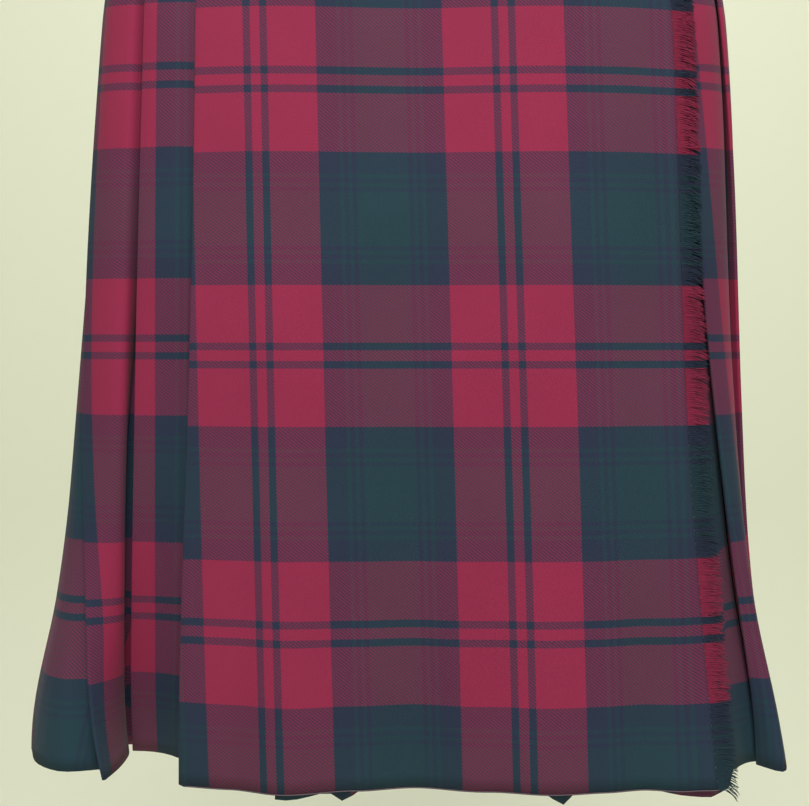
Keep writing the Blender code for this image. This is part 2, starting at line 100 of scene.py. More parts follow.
# Soft troughs and ridges in the hanging cloth: x, drop, half length, half width, lean, depth
CREASES = (
    (-96.0, 300.0, 120.0, 13.0, 0.10, 1.0), (-58.0, 455.0, 90.0, 11.0, -0.06, -1.1),
    (-12.0, 250.0, 80.0, 16.0, 0.04, 0.8), (24.0, 520.0, 100.0, 12.0, 0.05, 1.3),
    (66.0, 360.0, 110.0, 14.0, -0.08, -0.9), (112.0, 480.0, 95.0, 10.0, 0.12, 1.2),
    (140.0, 280.0, 90.0, 12.0, 0.05, 0.9), (-116.0, 560.0, 70.0, 9.0, 0.08, -1.0),
)

UNDER_SAGS = ((-72.0, 6.0, 26.0), (-36.0, 8.0, 7.0), (94.0, 9.0, 7.0), (186.0, 7.0, 34.0))
UNDER_EDGE_X = -78.0
FRINGE_STRIP = 3.0
BAND_DEPTH = 36.0
BAND_STAND_OFF = 1.5
BACK_EXTRA = 0.4
LOCK_LENGTH = 12.5

# The tartan. Counts of threads from the middle of the green band to the middle of the red one.
WARP_THREADS = ((25, "green"), (4, "navy"), (4, "green"), (4, "navy"), (4, "green"), (20, "navy"),
                (48, "red"), (7, "navy"), (5, "red"))
WEFT_THREADS = ((24, "green"), (4, "navy"), (4, "green"), (4, "navy"), (4, "green"), (19, "navy"),
                (52, "red"), (6.5, "navy"), (5, "red"))
WARP_HALF = 76.5
WEFT_HALF = 83.5
TWILL_ACROSS = 2.52     # four ends
TWILL_DOWN = 2.07       # four picks
YARNS = {
    "red": (0.250, 0.0175, 0.057),
    "green": (0.0134, 0.040, 0.054),
    "navy": (0.0176, 0.026, 0.053),
}

# Places in the tartan
GREEN_MIDDLE_TOP_X = -15.7      # of the apron's middle green band, at the top of the photo
GREEN_MIDDLE_LEAN = 10.9 / 399.0
GREEN_MIDDLE_TOP_DROP = 182.0
GREEN_WEFT_DROP = 296.0
APRON_FOLD_WARP = -114.4        # from the middle green band to the red band's left edge
FIRST_FOLD = (86.0, 94.0)       # how much cloth lies left of that, at the fell and at the hem
SECOND_FOLD = 158.0
LAST_FOLD = 1234.0
HEM_CLOTH = {2: 5.0, 3: 17.0, 4: 12.0, 5: 6.0, 18: 8.0, 19: 14.0}      # how much more there is at the hem
FOLD_CLOTH = 16.5
LAYER_SPREAD = {2: 0.22}        # how much less cloth a layer shows above than its width
FIRST_TUCK = 36.0               # how much cloth the first layer has under the apron
DIP = 2.6                       # how much deeper than the solid a layer dips where it comes out under a fold
LAST_DIP = 15                   # the last layer that dips so
SLIT_LAYER = 2                  # the layer at the deep slit beside the apron
SLIT_DEPTH = 14.0
SLIT_SHOULDER = 0.72            # where it turns over into the slit, as a share of the way to its first belly
SLIT_STEPS = 26
WEFT_LIFT = 5.6                 # how much higher the weft lies at the top of the photo
WEFT_LIFT_FROM = 337.0          # the drop where that begins
WEFT_LIFT_SPAN = 173.0
PLEAT_WEFT_RISE = 4.5
SIDE_RISE = 4.8                 # how much more the pleats' weft rises at the sides
SIDE_RISE_FROM = 370.0
SIDE_RISE_SPAN = 160.0
BAND_WEFT = 60.0                # where the waistband is cut from, down the tartan
EDGE_WARP = 172.0               # from here to the cut edge the warp is pulled a little apart
EDGE_GIVE = 0.25
FOLD_WARP = -84.0               # from here to the fold the red stripe is pulled a little wider
FOLD_GIVE = 0.09

# The fringe's loose threads
FRINGE_THREADS = 1500
FRINGE_REACH = 14.5             # past the apron's cut edge
FRINGE_OVERLAP = 1.2            # where they come out of the cloth, inside that edge
FRINGE_STEPS = 8
CLUMP_PITCH = 4.6
LOOP_EVERY = 37                 # one thread in so many bends back in a loop
FRINGE_FOOT = 14.0              # the stretch above the hem where the threads are short and droop
SELVEDGE_STAND = 0.55           # how far the hem's selvedge stands before the middle of the cloth
SELVEDGE_RISE = 0.5
THREAD = 0.25

# How finely the shells are made
ROWS = 72
APRON_COLUMNS = 96
LAYER_STEPS = 12
FOLD_STEPS = 4
BEND_STEPS = 12                 # of the backdrop's curve

# The camera, as the photograph was taken
PHOTO_WIDTH = 809.0
PHOTO_MIDDLE_Y = 403.0
HEM_Y = 790.0                   # the row of the apron's hem
CAMERA_EYE_Y = 340.0            # the row of the photograph level with the camera
METRES_PER_PIXEL = 0.0006       # on the apron at the hem
CAMERA_DISTANCE = 0.75
APRON_FACE_Y = -0.080
SENSOR = 36.0


def blended(drop, key):
    """The level table's value at a drop: a smooth curve through the rows."""
    rows = LEVELS
    drop = min(max(drop, rows[0]["drop"]), rows[-1]["drop"])
    spot = max(i for i in range(len(rows) - 1) if rows[i]["drop"] <= drop)

    def slope(i):
        before, after = max(i - 1, 0), min(i + 1, len(rows) - 1)
        left = (rows[i][key] - rows[before][key]) / max(rows[i]["drop"] - rows[before]["drop"], 1e-9)
        right = (rows[after][key] - rows[i][key]) / max(rows[after]["drop"] - rows[i]["drop"], 1e-9)
        if i in (0, len(rows) - 1):
            return right if i == 0 else left
        return 0.0 if left * right <= 0 else 2 * left * right / (left + right)

    low, high = rows[spot], rows[spot + 1]
    span = high["drop"] - low["drop"]
    t = (drop - low["drop"]) / span
    return (low[key] * (1 + 2 * t) * (1 - t) ** 2 + high[key] * t * t * (3 - 2 * t)
            + slope(spot) * span * t * (1 - t) ** 2 - slope(spot + 1) * span * t * t * (1 - t))


def loosened(drop):
    """How freely the cloth hangs: nothing down to the fell, fully at the hem."""
    return max(0.0, (drop - FELL) / (LENGTH - FELL)) ** 2.2


def along_table(table, x):
    """A smooth value between the (x, value) rows of a short table."""
    if x <= table[0][0]:
        return table[0][1]
    for (x0, v0), (x1, v1) in zip(table, table[1:]):
        if x <= x1:
            t = (x - x0) / (x1 - x0)
            return v0 + (v1 - v0) * t * t * (3 - 2 * t)
    return table[-1][1]


class Oval:
    """The plan of the body at one height, measured along from the middle of the front, left side first."""

    STEPS = 720

    def __init__(self, drop):
        self.drop = drop
        self.size = {key: blended(drop, key) for key in LEVELS[0] if key != "drop"}
        power = 2.0 / self.size["squareness"]
        self.points = []
        for i in range(self.STEPS + 1):
            turn = 2 * math.pi * i / self.STEPS
            across, deep = math.sin(turn), math.cos(turn)
            x = self.size["half_width"] * math.copysign(abs(across) ** power, across)
            y = self.size["half_depth"] * math.copysign(abs(deep) ** power, deep)
            self.points.append(Vector((self.size["centre_x"] - x, self.size["centre_y"] - y)))
        self.lengths = [0.0]
        for a, b in zip(self.points, self.points[1:]):
            self.lengths.append(self.lengths[-1] + (b - a).length)
        self.round = self.lengths[-1]

    def at(self, along, out=0.0):
        """The point at a distance along the oval, moved out from it."""
        along %= self.round
        low, high = 0, self.STEPS
        while high - low > 1:
            middle = (low + high) // 2
            low, high = (middle, high) if self.lengths[middle] <= along else (low, middle)
        run = self.lengths[low + 1] - self.lengths[low]
        point = self.points[low].lerp(self.points[low + 1], (along - self.lengths[low]) / max(run, 1e-9))
        before = self.points[(low - 4) % self.STEPS]
        after = self.points[(low + 5) % self.STEPS]
        way = (after - before).normalized()
        return point + Vector((-way.y, way.x)) * out

    def front_length(self, x):
        """The distance along to the point of the front at this x. It is negative right of the middle."""
        quarter = self.STEPS // 4
        left = x <= self.size["centre_x"]
        side = range(quarter) if left else range(self.STEPS, self.STEPS - quarter, -1)
        for i in side:
            j = i + 1 if left else i - 1
            if min(self.points[i].x, self.points[j].x) <= x <= max(self.points[i].x, self.points[j].x):
                share = (x - self.points[i].x) / (self.points[j].x - self.points[i].x)
                length = self.lengths[i] + (self.lengths[j] - self.lengths[i]) * share
                return length - (0.0 if left else self.round)
        return 0.0


OVALS = {}


def oval_at(drop):
    """The oval at a drop, made once."""
    key = round(drop, 4)
    if key not in OVALS:
        OVALS[key] = Oval(drop)
    return OVALS[key]


def left_of(way):
    way = way.normalized()
    return Vector((-way.y, way.x))


def edge_place(oval, number):
    """How far along the oval a fold's edge lies."""
    loose = loosened(oval.drop)
    first = oval.front_length(oval.size["apron_left_x"])
    last = oval.round + oval.front_length(oval.size["last_fold_x"])
    moved = number + FOLD_SHIFT.get(number, 0.0) * (1.0 - loose)
    return first + (last - first) / PLEATS * moved + PLEAT_SWING.get(number, (0.0, 0.0))[1] * loose


def fold(oval, number):
    """The plan of one fold: its layer's bellies, its edge, its hidden inner fold and the cloth behind."""
    size, loose = oval.size, loosened(oval.drop)
    edge_along = edge_place(oval, number)
    pitch = edge_along - edge_place(oval, number - 1)
    out_here = PLEAT_SWING.get(number, (0.0, 0.0))[0] * loose
    width = size["fold_width"] if number else APRON_PLEAT - 2.0 * loose
    gap, opening = size["gap_behind"], size["fold_opening"]
    lift = LAYER if number == 0 else 0.0
    slope = (2 * LAYER + gap) / pitch if number else 0.0
    before = (2 * LAYER + gap) * (1.0 if number > 1 else (LAYER + gap) / (2 * LAYER + gap))
    made = dict(
        belly_a=oval.at(edge_along - pitch * 0.66, out_here * 0.5 - before * 0.60 + 0.8),
        belly_b=oval.at(edge_along - pitch * 0.33, out_here * 0.8 - before * 0.28 + 0.8),
        edge=oval.at(edge_along, out_here + lift),
        inner=oval.at(edge_along - width, lift - slope * width - LAYER - opening + out_here * 0.3),
        behind=oval.at(edge_along + 1.0, lift - 2 * LAYER - gap + out_here * 0.5),
    )
    for key, spot in HEM_FOLDS.get(number, {}).items():
        if spot is not None:
            share = loose ** LATENESS if number in LATE_FOLDS else loose
            made[key] = made[key].lerp(Vector(spot), share)
    return made


def back_of(here):
    """The start of the layer that turns back under a fold's edge."""
    way = here["apron_way"] if "apron_way" in here else here["edge"] - here["belly_b"]
    return here["edge"] - left_of(way) * LAYER


def start_of(before):
    """The start of the layer after a hidden fold."""
    return before["inner"] + left_of(before["inner"] - back_of(before)) * LAYER


def curve_through(points, steps):
    """Points along a smooth curve through the given ones, with the share of each."""
    ends = [points[0] * 2 - points[1]] + points + [points[-1] * 2 - points[-2]]
    lengths = [0.0]
    for a, b in zip(points, points[1:]):
        lengths.append(lengths[-1] + (b - a).length)
    made = []
    for i in range(steps + 1):
        want = lengths[-1] * i / steps
        spot = max(j for j in range(len(points) - 1) if lengths[j] <= want + 1e-9)
        run = lengths[spot + 1] - lengths[spot]
        t = (want - lengths[spot]) / run
        p0, p1, p2, p3 = ends[spot:spot + 4]
        near = (lengths[spot] - lengths[spot - 1]) if spot else run
        far = (lengths[spot + 2] - lengths[spot + 1]) if spot + 2 < len(lengths) else run
        m1 = ((p1 - p0) / near * run + (p2 - p1)) * 0.5 if near > 0 else p2 - p1
        m2 = ((p2 - p1) + (p3 - p2) / far * run) * 0.5 if far > 0 else p2 - p1
        made.append(p1 * (1 + 2 * t) * (1 - t) ** 2 + p2 * t * t * (3 - 2 * t)
                    + m1 * t * (1 - t) ** 2 - m2 * t * t * (1 - t))
    return made


def round_turn(a, b, way):
    """The points of a half circle from a to b, which bulges along way."""
    centre, radius = (a + b) / 2, (b - a).length / 2
    side, way = (a - b).normalized(), way.normalized()
    return [centre + side * radius * math.cos(math.pi * i / FOLD_STEPS)
            + way * radius * math.sin(math.pi * i / FOLD_STEPS) for i in range(1, FOLD_STEPS)]


def fold_cloth(number, drop):
    """How much cloth there is from the apron's red edge to a fold's edge."""
    if number == 1:
        share = max(0.0, min(1.0, (drop - FELL) / (LENGTH - FELL)))
        return FIRST_FOLD[0] + (FIRST_FOLD[1] - FIRST_FOLD[0]) * share
    even = SECOND_FOLD + (LAST_FOLD - SECOND_FOLD) * (number - 2) / (PLEATS - 2)
    return even + HEM_CLOTH.get(number, 0.0) * loosened(drop)


def warp_lengths(points, known):
    """Cloth lengths at points, from those known at some of them, in proportion to the distance between."""
    lengths = [0.0]
    for a, b in zip(points, points[1:]):
        lengths.append(lengths[-1] + (b - a).length)
    keys = sorted(known)
    made = []
    for i in range(len(points)):
        low = max([k for k in keys if k <= i], default=keys[0])
        high = min([k for k in keys if k >= i], default=keys[-1])
        if low == high:
            made.append(known[low])
        else:
            share = (lengths[i] - lengths[low]) / (lengths[high] - lengths[low])
            made.append(known[low] + (known[high] - known[low]) * share)
    return made


def pleat_section(oval, first, last):
    """The points of a length of pleated cloth at one height, and the tartan's warp place at each."""
    folds = {n: fold(oval, n) for n in range(first - 1, last + 1)}
    if first == 1:
        folds[0]["apron_way"] = apron_way(oval)
    points, warps = [], []
    for number in range(first, last + 1):
        before, here = folds[number - 1], folds[number]
        start, back = start_of(before), back_of(here)
        inward = -left_of(here["belly_a"] - before["behind"])
        if number == SLIT_LAYER:
            steps = SLIT_STEPS
            deep = SLIT_DEPTH * min(1.0, oval.drop / FELL) * (1.0 - loosened(oval.drop))
            shoulder = before["behind"].lerp(here["belly_a"], SLIT_SHOULDER)
            way = [start, before["behind"] + inward * (DIP + deep), shoulder]
        else:
            steps = LAYER_STEPS
            way = [start, before["behind"] + inward * (DIP if number <= LAST_DIP else 0.0)]
        layer = curve_through(way + [here["belly_a"], here["belly_b"], here["edge"]], steps)
        edge_cloth = fold_cloth(number, oval.drop)
        seen = [before["behind"], here["belly_a"], here["belly_b"], here["edge"]]
        shown = sum((b - a).length for a, b in zip(seen, seen[1:]))
        if number > 1:
            start_cloth = fold_cloth(number - 1, oval.drop) + FOLD_CLOTH
        else:
            start_cloth = edge_cloth - shown - FIRST_TUCK
        whole = sum((b - a).length for a, b in zip(layer, layer[1:]))
        emerge = round((1 - shown / whole) * steps)
        emerge = min(max(emerge, 1), steps - 1)
        left_over = sum((b - a).length for a, b in zip(layer[emerge:], layer[emerge + 1:]))
        left_over *= 1.0 - LAYER_SPREAD.get(number, 0.0) * (1.0 - loosened(oval.drop))
        warps += warp_lengths(layer, {0: start_cloth, emerge: edge_cloth - left_over, steps: edge_cloth})
        points += layer
        turn = round_turn(here["edge"], back, here["edge"] - here["belly_b"])
        under = curve_through([back, here["inner"]], FOLD_STEPS)
        inner_cloth = edge_cloth + FOLD_CLOTH
        points += turn + under
        tail = warp_lengths([layer[-1]] + turn + under, {0: edge_cloth, len(turn) + len(under): inner_cloth})
        warps += tail[1:]
        if number < last:
            close = round_turn(here["inner"], start_of(here), here["inner"] - back)
            points += close
            warps += [inner_cloth] * len(close)
    return points, [APRON_FOLD_WARP - w for w in warps]


def apron_front(oval, along, loose, under=0.0):
    """A point of the apron's face, or of a layer this far under it."""
    spot = oval.at(along, LAYER - under)
    return spot - Vector((0.0, along_table(APRON_FLUTES, spot.x) * loose))


def crease_depth(x, drop):
    """The depth of the soft creases at a place on the cloth."""
    total = 0.0
    for cx, cd, long, wide, lean, depth in CREASES:
        down = (drop - cd) / long
        side = (x - cx - lean * (drop - cd)) / wide
        total += depth * math.exp(-down * down - side * side)
    return total


def apron_way(oval):
    """The direction of the apron where it reaches its left fold, as the part's source takes it."""
    size, loose = oval.size, loosened(oval.drop)
    right = oval.front_length(size["apron_right_x"])
    left = edge_place(oval, 0)
    return fold(oval, 0)["edge"] - apron_front(oval, left - (left - right) / 16, loose)


def green_middle_x(drop):
    return GREEN_MIDDLE_TOP_X + (drop - GREEN_MIDDLE_TOP_DROP) * GREEN_MIDDLE_LEAN


def warps_from(points, drop):
    """The tartan's warp place at each point, measured along the cloth from the middle green band."""
    lengths = [0.0]
    for a, b in zip(points, points[1:]):
        lengths.append(lengths[-1] + (b - a).length)
    middle = green_middle_x(drop)
    zero = 0.0
    for i, (a, b) in enumerate(zip(points, points[1:])):
        if a.x >= middle >= b.x:
            zero = lengths[i] + (a.x - middle) / (a.x - b.x) * (b - a).length
            break
    return [zero - length - EDGE_GIVE * max(0.0, zero - length - EDGE_WARP)
            + FOLD_GIVE * max(0.0, FOLD_WARP - zero + length) for length in lengths]


def apron_section(oval):
    """The apron at one height from its cut edge to the fold, then back under to the hidden fold."""
    size, loose = oval.size, loosened(oval.drop)
    right = oval.front_length(size["apron_right_x"])
    left = edge_place(oval, 0)
    columns = APRON_COLUMNS
    points = [apron_front(oval, right + (left - right) * i / columns, loose) for i in range(columns + 1)]
    here = fold(oval, 0)
    points[-1] = here["edge"]
    here["apron_way"] = apron_way(oval)
    back = back_of(here)
    face = len(points)
    points += round_turn(points[-1], back, here["apron_way"])
    points += curve_through([back, here["inner"]], 8)
    for i in range(1, face - 4):
        give = min(1.0, i / 8.0, (face - 4 - i) / 10.0)
        points[i] = points[i] - Vector((0.0, 1.0)) * give * crease_depth(points[i].x, oval.drop)
    return points, warps_from(points, oval.drop)


def under_section(oval):
    """The under apron at one height, from the last hidden fold to its edge behind the front apron."""
    loose = loosened(oval.drop)
    last = fold(oval, PLEATS)
    right = oval.front_length(oval.size["apron_right_x"])
    edge = oval.front_length(UNDER_EDGE_X)
    under = 3 * LAYER + 0.6 + 4.0 * loose
    rest = [apron_front(oval, right + (edge - right) * i / 40, loose, under) for i in range(41)]
    lead = curve_through([start_of(last), last["behind"], last["behind"].lerp(rest[0], 0.5), rest[0]], 12)
    points = lead[:-1] + rest
    lengths = [0.0]
    for a, b in zip(points, points[1:]):
        lengths.append(lengths[-1] + (b - a).length)
    return points, [APRON_FOLD_WARP - LAST_FOLD - FOLD_CLOTH - length for length in lengths]


def sag(x, drop):
    """How far the under apron's hem sags at this x."""
    low = sum(depth * math.exp(-((x - at) / wide) ** 2) for at, depth, wide in UNDER_SAGS)
    return low * loosened(drop) ** 2


def pleat_rise(x, drop):
    return PLEAT_LIFT * loosened(drop)


def weft_lift(drop):
    """How much higher the weft lies towards the waist than an even count of picks puts it."""
    return WEFT_LIFT * (max(0.0, WEFT_LIFT_FROM - drop) / WEFT_LIFT_SPAN) ** 2


def apron_weft(spot, drop):
    """How much lower the weft lines hang in the middle of the apron, near the hips, as a negative rise."""
    return -3.2 * math.exp(-((spot.x - 5.0) / 62.0) ** 2) * max(0.0, 1.0 - (drop - 120.0) / 240.0)


def pleat_weft(spot, drop):
    """The pleats' weft lies higher than the apron's, and above the hips it rises towards the sides."""
    aside = min(max((spot.y + 50.0) / 50.0, 0.0), 1.0)
    return PLEAT_WEFT_RISE + SIDE_RISE * aside * max(0.0, SIDE_RISE_FROM - drop) / SIDE_RISE_SPAN


def cloth_piece(name, section, drops, rise=None, weft=None):
    """A cloth shell through the sections, with the tartan's places in its UV map, that replaces its node."""
    made = [section(oval_at(drop)) for drop in drops]
    across, rows = len(made[0][0]) - 1, len(drops) - 1
    bm = bmesh.new()
    bmesh.ops.create_grid(bm, x_segments=across, y_segments=rows, size=1.0)
    layer = bm.loops.layers.uv.new("Cloth")
    places = {}
    for vert in bm.verts:
        column = round((vert.co.x + 1) / 2 * across)
        row = round((vert.co.y + 1) / 2 * rows)
        spot, drop = made[row][0][column], drops[row]
        lifted = rise(spot.x, drop) if rise else 0.0
        vert.co = Vector((spot.x, spot.y, lifted - drop)) * MM
        down = drop - GREEN_WEFT_DROP + weft_lift(drop) + (weft(spot, drop) if weft else 0.0)
        places[vert] = (made[row][1][column], down)
    for face in bm.faces:
        for loop in face.loops:
            across_mm, down_mm = places[loop.vert]
            loop[layer].uv = (across_mm * MM, down_mm * MM)
        face.smooth = True
    mesh = bpy.data.meshes.new(name)
    bm.to_mesh(mesh)
    bm.free()
    piece = bpy.data.objects.new(name, mesh)
    bpy.context.scene.collection.objects.link(piece)
    solid = piece.modifiers.new("Cloth thickness", "SOLIDIFY")
    solid.thickness = CLOTH * MM
    solid.offset = 0.0
    solid.use_even_offset = True
    mesh.materials.append(TARTAN)
    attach(piece, "root")
    return piece


def make_group(name, inputs, outputs):
    """A shader node group with named sockets."""
    group = bpy.data.node_groups.new(name, "ShaderNodeTree")
    for label, kind in inputs:
        group.interface.new_socket(name=label, in_out="INPUT", socket_type=kind)
    for label, kind in outputs:
        group.interface.new_socket(name=label, in_out="OUTPUT", socket_type=kind)
    return group, group.nodes.new("NodeGroupInput"), group.nodes.new("NodeGroupOutput")


def math_node(tree, operation, first, second=None, third=None):
    """A math node whose inputs are sockets or numbers."""
    node = tree.nodes.new("ShaderNodeMath")
    node.operation = operation
    for slot, value in zip(node.inputs, (first, second, third)):
        if value is None:
            continue
        if isinstance(value, (int, float)):
            slot.default_value = value
        else:
            tree.links.new(value, slot)
    return node.outputs[0]


def stripe_ramp(tree, place, half, threads):
    """The yarn colour at a place in a stripe sequence that mirrors at both ends."""
    share = math_node(tree, "DIVIDE", math_node(tree, "PINGPONG", place, half), half)
    ramp = tree.nodes.new("ShaderNodeValToRGB")
    ramp.color_ramp.interpolation = "CONSTANT"
    total = sum(count for count, _ in threads)
    at = 0.0
    for i, (count, yarn) in enumerate(threads):
        stop = ramp.color_ramp.elements[0] if i == 0 else ramp.color_ramp.elements.new(at / total)
        stop.color = (*YARNS[yarn], 1.0)
        at += count
    while len(ramp.color_ramp.elements) > len(threads):
        ramp.color_ramp.elements.remove(ramp.color_ramp.elements[-1])
    tree.links.new(share, ramp.inputs[0])
    return ramp.outputs[0]


def raised(tree, colour, power):
    """The colour with each channel raised to a power. Yarns that blend between such roots blend darkly,
    which paints shade where warp and weft floats meet.
    """
    node = tree.nodes.new("ShaderNodeGamma")
    node.inputs["Gamma"].default_value = power
    tree.links.new(colour, node.inputs["Color"])
    return node.outputs[0]


def tartan_group():
    """Woven tartan in 2/2 twill: the colour of the thread on top, and how high it stands."""
    group, given, out = make_group(
        "Kilt tartan", [("Place", "NodeSocketVector"), ("Twill depth", "NodeSocketFloat")],
        [("Color", "NodeSocketColor"), ("Height", "NodeSocketFloat")])
    parts = group.nodes.new("ShaderNodeSeparateXYZ")
    group.links.new(given.outputs["Place"], parts.inputs[0])
    across, down = parts.outputs[0], parts.outputs[1]
    warp = stripe_ramp(group, across, WARP_HALF * MM, WARP_THREADS)
    weft = stripe_ramp(group, down, WEFT_HALF * MM, WEFT_THREADS)
    slant = math_node(group, "SUBTRACT", math_node(group, "DIVIDE", across, TWILL_ACROSS * MM),
                      math_node(group, "DIVIDE", down, TWILL_DOWN * MM))
    wave = math_node(group, "PINGPONG", slant, 0.5)
    on_top = group.nodes.new("ShaderNodeMapRange")
    on_top.inputs["From Min"].default_value = -0.12
    on_top.inputs["From Max"].default_value = 0.60
    group.links.new(wave, on_top.inputs["Value"])
    # Warp and weft blend between square roots and are squared again, so the blend darkens where the two
    # colours meet: painted shade at the edges of the thread floats.
    mix = group.nodes.new("ShaderNodeMix")
    mix.data_type = "RGBA"
    group.links.new(on_top.outputs[0], mix.inputs["Factor"])
    group.links.new(raised(group, weft, 0.5), mix.inputs[6])
    group.links.new(raised(group, warp, 0.5), mix.inputs[7])
    ridge = math_node(group, "MULTIPLY", math_node(group, "PINGPONG", slant, 0.25), 4.0)
    height = math_node(group, "MULTIPLY", ridge, given.outputs["Twill depth"])
    group.links.new(raised(group, mix.outputs[2], 2.0), out.inputs["Color"])
    group.links.new(height, out.inputs["Height"])
    return group


def wool_group():
    """The wool's own unevenness: worn and hairy patches in the colour and the roughness."""
    group, given, out = make_group(
        "Kilt wool",
        [("Color", "NodeSocketColor"), ("Place", "NodeSocketVector"), ("Height", "NodeSocketFloat")],
        [("Color", "NodeSocketColor"), ("Roughness", "NodeSocketFloat"), ("Height", "NodeSocketFloat")])

    def noisy(scale, detail):
        node = group.nodes.new("ShaderNodeTexNoise")
        node.inputs["Scale"].default_value = scale
        node.inputs["Detail"].default_value = detail
        group.links.new(given.outputs["Place"], node.inputs["Vector"])
        return node.outputs[0]

    patches, hairs = noisy(14.0, 3.0), noisy(1400.0, 2.0)
    shade = math_node(group, "MULTIPLY_ADD", patches, 0.22, 0.80)
    shade = math_node(group, "MULTIPLY_ADD", hairs, 0.28, shade)
    paint = group.nodes.new("ShaderNodeVectorMath")
    paint.operation = "SCALE"
    group.links.new(given.outputs["Color"], paint.inputs[0])
    group.links.new(shade, paint.inputs["Scale"])
    group.links.new(paint.outputs[0], out.inputs["Color"])
    rough = math_node(group, "MULTIPLY_ADD", hairs, 0.16, 0.78)
    group.links.new(rough, out.inputs["Roughness"])
    height = math_node(group, "MULTIPLY_ADD", hairs, 0.35, given.outputs["Height"])
    group.links.new(height, out.inputs["Height"])
    return group


def new_material(name):
    material = bpy.data.materials.new(name)
    material.use_nodes = True
    tree = material.node_tree
    return material, tree, tree.nodes["Principled BSDF"]


def add_group(tree, group):
    node = tree.nodes.new("ShaderNodeGroup")
    node.node_tree = group
    return node


def bump_into(tree, shader, height, strength, distance):
    bump = tree.nodes.new("ShaderNodeBump")
    bump.inputs["Strength"].default_value = strength
    bump.inputs["Distance"].default_value = distance
    tree.links.new(height, bump.inputs["Height"])
    tree.links.new(bump.outputs[0], shader.inputs["Normal"])


def wool_finish(shader):
    shader.inputs["Sheen Weight"].default_value = 0.07
    shader.inputs["Sheen Roughness"].default_value = 0.45
    shader.inputs["Sheen Tint"].default_value = (0.85, 0.80, 0.84, 1.0)
    shader.inputs["Specular IOR Level"].default_value = 0.22


def tartan_material():
    material, tree, shader = new_material("kilt tartan wool")
    place = tree.nodes.new("ShaderNodeUVMap")
    place.uv_map = "Cloth"
    weave = add_group(tree, TARTAN_GROUP)
    weave.inputs["Twill depth"].default_value = 1.0
    tree.links.new(place.outputs[0], weave.inputs["Place"])
    wool = add_group(tree, WOOL_GROUP)
    tree.links.new(weave.outputs["Color"], wool.inputs["Color"])
    tree.links.new(weave.outputs["Height"], wool.inputs["Height"])
    tree.links.new(place.outputs[0], wool.inputs["Place"])
    tree.links.new(wool.outputs["Color"], shader.inputs["Base Color"])
    tree.links.new(wool.outputs["Roughness"], shader.inputs["Roughness"])
    bump_into(tree, shader, wool.outputs["Height"], 0.5, 0.00024)
    wool_finish(shader)
    return material


def fringe_material():
    """Loose weft ends: the weft's colours by height, darkened to 0.8 as painted shade among the loose
    threads.
    """
    material, tree, shader = new_material("kilt fringe wool")
    place = tree.nodes.new("ShaderNodeTexCoord")
    parts = tree.nodes.new("ShaderNodeSeparateXYZ")
    tree.links.new(place.outputs["Object"], parts.inputs[0])
    above = math_node(tree, "MAXIMUM", math_node(tree, "ADD", parts.outputs[2], WEFT_LIFT_FROM * MM), 0.0)
    lift_per_square = WEFT_LIFT * MM / (WEFT_LIFT_SPAN * MM) ** 2
    rise = math_node(tree, "MULTIPLY", math_node(tree, "POWER", above, 2.0), lift_per_square)
    down = math_node(tree, "MULTIPLY_ADD", parts.outputs[2], -1.0, -GREEN_WEFT_DROP * MM)
    down = math_node(tree, "ADD", down, rise)
    colour = stripe_ramp(tree, down, WEFT_HALF * MM, WEFT_THREADS)
    wool = add_group(tree, WOOL_GROUP)
    # Painted shade: the weft colours are scaled to 0.8 to darken the loose fringe as a whole.
    shade = tree.nodes.new("ShaderNodeVectorMath")
    shade.operation = "SCALE"
    shade.inputs["Scale"].default_value = 0.8
    tree.links.new(colour, shade.inputs[0])
    tree.links.new(shade.outputs[0], wool.inputs["Color"])
    tree.links.new(place.outputs["Object"], wool.inputs["Place"])
    tree.links.new(wool.outputs["Color"], shader.inputs["Base Color"])
    tree.links.new(wool.outputs["Roughness"], shader.inputs["Roughness"])
    wool_finish(shader)
    return material


def leather_material():
    material, tree, shader = new_material("strap leather")
    place = tree.nodes.new("ShaderNodeTexCoord")
    grain = tree.nodes.new("ShaderNodeTexVoronoi")
    grain.feature = "DISTANCE_TO_EDGE"
    grain.inputs["Scale"].default_value = 900.0
    tree.links.new(place.outputs["Object"], grain.inputs["Vector"])
    wear = tree.nodes.new("ShaderNodeTexNoise")
    wear.inputs["Scale"].default_value = 60.0
    tree.links.new(place.outputs["Object"], wear.inputs["Vector"])
    ramp = tree.nodes.new("ShaderNodeValToRGB")
    ramp.color_ramp.elements[0].position = 0.35
    ramp.color_ramp.elements[0].color = (0.008, 0.007, 0.006, 1.0)
    ramp.color_ramp.elements[1].position = 0.8
    ramp.color_ramp.elements[1].color = (0.032, 0.026, 0.022, 1.0)
    tree.links.new(wear.outputs[0], ramp.inputs[0])
    tree.links.new(ramp.outputs[0], shader.inputs["Base Color"])
    rough = math_node(tree, "MULTIPLY_ADD", wear.outputs[0], 0.25, 0.34)
    tree.links.new(rough, shader.inputs["Roughness"])
    shader.inputs["Specular IOR Level"].default_value = 0.35
    bump_into(tree, shader, grain.outputs[0], 0.4, 0.0002)
    return material


def metal_material():
    material, tree, shader = new_material("buckle nickel plate")
    place = tree.nodes.new("ShaderNodeTexCoord")
    scuffs = tree.nodes.new("ShaderNodeTexNoise")
    scuffs.inputs["Scale"].default_value = 300.0
    tree.links.new(place.outputs["Object"], scuffs.inputs["Vector"])
    rough = math_node(tree, "MULTIPLY_ADD", scuffs.outputs[0], 0.2, 0.14)
    tree.links.new(rough, shader.inputs["Roughness"])
    shader.inputs["Base Color"].default_value = (0.72, 0.70, 0.67, 1.0)
    shader.inputs["Metallic"].default_value = 1.0
    return material


def evenly(last, count):
    return [last * i / count for i in range(count + 1)]


